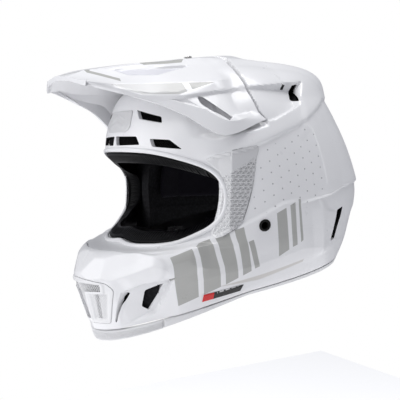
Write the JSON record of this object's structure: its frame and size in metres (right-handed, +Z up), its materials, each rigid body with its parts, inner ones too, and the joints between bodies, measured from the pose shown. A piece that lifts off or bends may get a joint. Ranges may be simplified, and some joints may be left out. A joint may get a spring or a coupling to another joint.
{
  "type": "motocross helmet",
  "caption": "Full-face off-road helmet with a long tilting peak, open eyeport, vented chin bar, foam liners, pull-out cheek pads and a riveted chin strap.",
  "frame": {"origin": "middle of the head cavity at the middle of the eyeport height, where the wearer's head holds the helmet", "axes": "+Z up through the crown as worn; the face looks along -Y, so +Y runs to the back; +X is the wearer's left"},
  "size_m": [0.2422, 0.3365, 0.2879],
  "materials": {
    "shell_white": "gloss painted composite",
    "visor_white": "gloss painted moulding",
    "mouthpiece_white": "satin moulding",
    "mouth_mesh_pale": "moulded mesh",
    "rim_pale": "soft moulded edge",
    "trim_black": "ribbed soft moulding",
    "grommet_black": "matte",
    "vent_black": "moulded mesh",
    "panel_pale": "fine relief pattern",
    "plate_grey": "plain satin",
    "foam_dark": "expanded bead foam",
    "liner_black": "knitted lining",
    "damper_blue": "soft moulding",
    "webbing_black": "woven webbing",
    "tab_red": "woven tab",
    "label_black": "printed film",
    "steel": "bright"
  },
  "bodies": {
    "helmet": {"outer_shell": "shell_white", "mouthpiece": "mouthpiece_white", "mouth_mesh": "mouth_mesh_pale", "rim_trim_front": "rim_pale", "rim_trim_rear": "rim_pale", "eyeport_trim": "trim_black", "hydration_grommet_left": "grommet_black", "hydration_grommet_right": "grommet_black", "visor_bush_left": "grommet_black", "visor_bush_right": "grommet_black", "centre_vent_mesh": "vent_black", "brow_vent_mesh_left": "vent_black", "brow_vent_mesh_right": "vent_black", "upper_vent_mesh_left": "vent_black", "upper_vent_mesh_right": "vent_black", "chin_vent_mesh_left": "vent_black", "chin_vent_mesh_right": "vent_black", "scoop_vent_mesh_left": "vent_black", "scoop_vent_mesh_right": "vent_black", "rear_vent_mesh_left": "vent_black", "rear_vent_mesh_right": "vent_black", "strap_panel_left": "panel_pale", "strap_panel_right": "panel_pale", "forehead_plate": "plate_grey", "eps_crown": "foam_dark", "eps_chin": "foam_dark", "crown_liner": "liner_black", "brow_pad": "liner_black", "nape_liner": "liner_black", "neck_roll": "liner_black", "damper_front": "damper_blue", "damper_crown": "damper_blue", "damper_left": "damper_blue", "damper_right": "damper_blue", "damper_rear": "damper_blue", "release_label_left": "label_black", "release_label_right": "label_black", "visor_screw": "steel", "visor_screw_insert": "steel", "strap_anchor_left": "steel", "strap_anchor_right": "steel", "strap_rivet_left": "steel", "strap_rivet_right": "steel"},
    "visor_unit": {"visor": "visor_white", "visor_pin_left": "steel", "visor_pin_right": "steel"},
    "cheek_set_left": {"cheek_core_left": "foam_dark", "cheek_pad_left": "liner_black", "release_tab_left": "tab_red"},
    "cheek_set_right": {"cheek_core_right": "foam_dark", "cheek_pad_right": "liner_black", "release_tab_right": "tab_red"},
    "strap_half_left": {"chin_strap_left": "webbing_black"},
    "strap_half_right": {"chin_strap_right": "webbing_black", "strap_snap": "steel"},
    "ring_upper": {"d_ring_upper": "steel"},
    "ring_lower": {"d_ring_lower": "steel"}
  },
  "joints": [
    {"name": "visor_tilt", "type": "hinge", "parent": "helmet", "child": "visor_unit", "pos_m": [0, -0.034, 0.078], "axis": [-1, 0, 0], "range_deg": [-3, 2.5]},
    {"name": "cheek_release_left", "type": "slide", "parent": "helmet", "child": "cheek_set_left", "axis": [-0.3, 0, -0.9539], "range_m": [0, 0.045]},
    {"name": "cheek_release_right", "type": "slide", "parent": "helmet", "child": "cheek_set_right", "axis": [0.3, 0, -0.9539], "range_m": [0, 0.045]},
    {"name": "strap_swing_left", "type": "hinge", "parent": "helmet", "child": "strap_half_left", "pos_m": [0.0976, 0.006, -0.047], "axis": [1, 0, 0], "range_deg": [-15, 15]},
    {"name": "strap_swing_right", "type": "hinge", "parent": "helmet", "child": "strap_half_right", "pos_m": [-0.0976, 0.006, -0.047], "axis": [1, 0, 0], "range_deg": [-15, 15]},
    {"name": "ring_upper_swing", "type": "hinge", "parent": "strap_half_left", "child": "ring_upper", "pos_m": [0.05, 0.006, -0.08745], "axis": [0, 1, 0], "range_deg": [0, 40]},
    {"name": "ring_lower_swing", "type": "hinge", "parent": "strap_half_left", "child": "ring_lower", "pos_m": [0.05, 0.006, -0.09055], "axis": [0, 1, 0], "range_deg": [-40, 0]}
  ]
}
